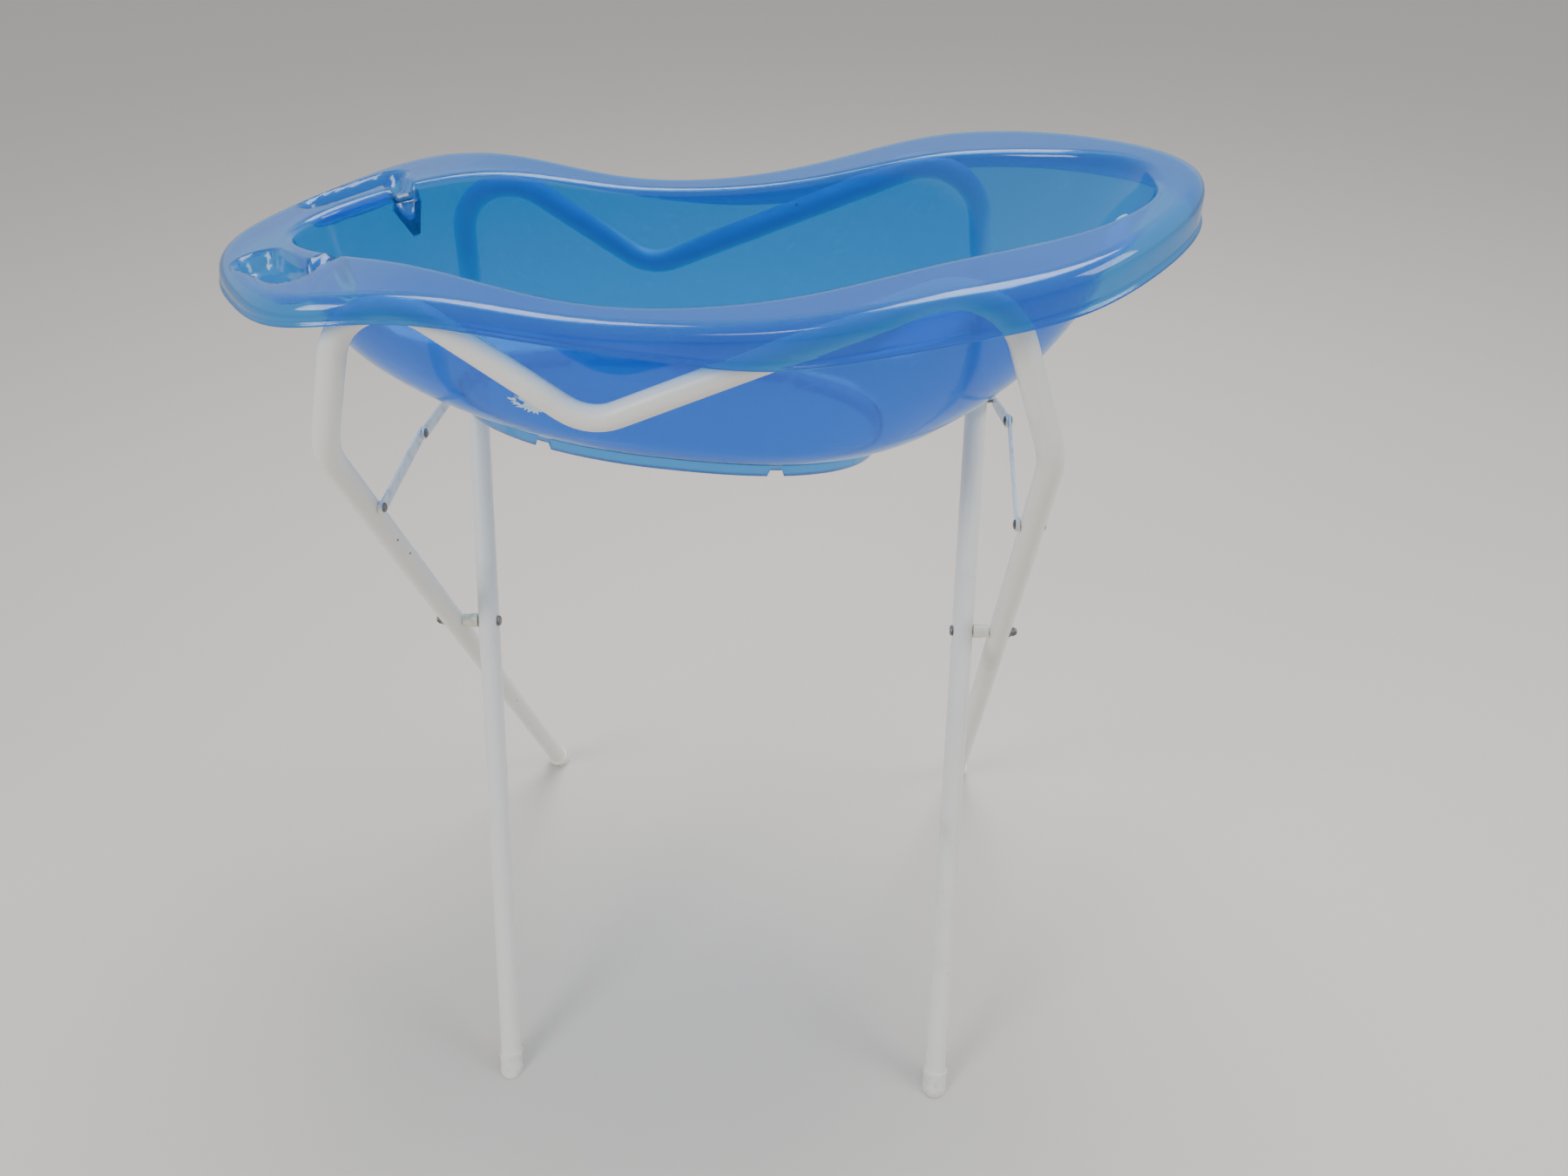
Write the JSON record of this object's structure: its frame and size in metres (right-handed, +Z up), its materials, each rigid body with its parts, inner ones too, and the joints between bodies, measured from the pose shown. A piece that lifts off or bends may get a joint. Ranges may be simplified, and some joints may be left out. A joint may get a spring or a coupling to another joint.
{
  "type": "pet bathtub on a folding stand",
  "caption": "Moulded bathtub for small pets with a rolled rim and soap dishes, resting on a folding stand of two bent steel tube frames joined by pivots and hinged stays.",
  "frame": {"origin": "on the floor, midway between the four feet", "axes": "+X from the foot end of the tub to its head end, +Y from front to back, +Z up"},
  "size_m": [0.8297, 0.516, 0.9249],
  "materials": {
    "tub_plastic": "tinted clear moulded, glossy",
    "sticker_film": "satin film",
    "label_film": "worn",
    "frame_enamel": "powder coated, satin",
    "cap_plastic": "moulded, satin",
    "nylon": "natural nylon",
    "fastener_steel": "dark zinc",
    "link_steel": "bright zinc"
  },
  "bodies": {
    "pivots": {"pivot_bolt_foot_end": "fastener_steel", "pivot_bush_inner_foot_end": "nylon", "pivot_bush_outer_foot_end": "nylon", "pivot_washer_foot_end": "fastener_steel", "pivot_nut_foot_end": "fastener_steel", "pivot_bolt_head_end": "fastener_steel", "pivot_bush_inner_head_end": "nylon", "pivot_bush_outer_head_end": "nylon", "pivot_washer_head_end": "fastener_steel", "pivot_nut_head_end": "fastener_steel"},
    "outer_frame": {"outer_frame": "frame_enamel", "cap_back_foot_end": "cap_plastic", "cap_back_head_end": "cap_plastic", "stay_washer_foot_end": "nylon", "stay_leg_rivet_foot_end": "fastener_steel", "stay_washer_head_end": "nylon", "stay_leg_rivet_head_end": "fastener_steel"},
    "inner_frame": {"inner_frame": "frame_enamel", "cap_front_foot_end": "cap_plastic", "cap_front_head_end": "cap_plastic", "stay_back_rivet_foot_end": "fastener_steel", "stay_back_rivet_head_end": "fastener_steel"},
    "tub": {"tub_shell": "tub_plastic", "oval_sticker": "sticker_film", "worn_label": "label_film"},
    "stay_lower_foot_end": {"stay_lower_foot_end": "link_steel", "stay_mid_rivet_foot_end": "fastener_steel"},
    "stay_upper_foot_end": {"stay_upper_foot_end": "link_steel"},
    "stay_lower_head_end": {"stay_lower_head_end": "link_steel", "stay_mid_rivet_head_end": "fastener_steel"},
    "stay_upper_head_end": {"stay_upper_head_end": "link_steel"}
  },
  "joints": [
    {"name": "tub_lift", "type": "slide", "parent": "pivots", "child": "tub", "axis": [0, 0, 1], "range_m": [0, 0.9582]},
    {"name": "frame_fold", "type": "hinge", "parent": "pivots", "child": "outer_frame", "pos_m": [0, 0, 0.44659], "axis": [-1, 0, 0], "range_deg": [0, 18.35]},
    {"name": "inner_fold", "type": "hinge", "parent": "pivots", "child": "inner_frame", "pos_m": [0, 0, 0.44659], "axis": [1, 0, 0], "range_deg": [0, 18.35]},
    {"name": "lower_link_foot_end", "type": "hinge", "parent": "outer_frame", "child": "stay_lower_foot_end", "pos_m": [0, -0.12006, 0.66587], "axis": [1, 0, 0], "range_deg": [0, 82.67]},
    {"name": "upper_link_foot_end", "type": "hinge", "parent": "stay_lower_foot_end", "child": "stay_upper_foot_end", "pos_m": [0, 0, 0.67353], "axis": [1, 0, 0], "range_deg": [-128.68, 0]},
    {"name": "lower_link_head_end", "type": "hinge", "parent": "outer_frame", "child": "stay_lower_head_end", "pos_m": [0, -0.11381, 0.65447], "axis": [1, 0, 0], "range_deg": [0, 68.62]},
    {"name": "upper_link_head_end", "type": "hinge", "parent": "stay_lower_head_end", "child": "stay_upper_head_end", "pos_m": [0, 0, 0.69344], "axis": [1, 0, 0], "range_deg": [-100.58, 0]}
  ],
  "couplings": [
    {"joint": "frame_fold", "follows": "tub_lift", "rad_per_m": 0.33333},
    {"joint": "inner_fold", "follows": "tub_lift", "rad_per_m": 0.33333},
    {"joint": "lower_link_foot_end", "follows": "tub_lift", "rad_per_m": 1.5048},
    {"joint": "upper_link_foot_end", "follows": "tub_lift", "rad_per_m": -2.343},
    {"joint": "lower_link_head_end", "follows": "tub_lift", "rad_per_m": 1.2489},
    {"joint": "upper_link_head_end", "follows": "tub_lift", "rad_per_m": -1.8312}
  ]
}
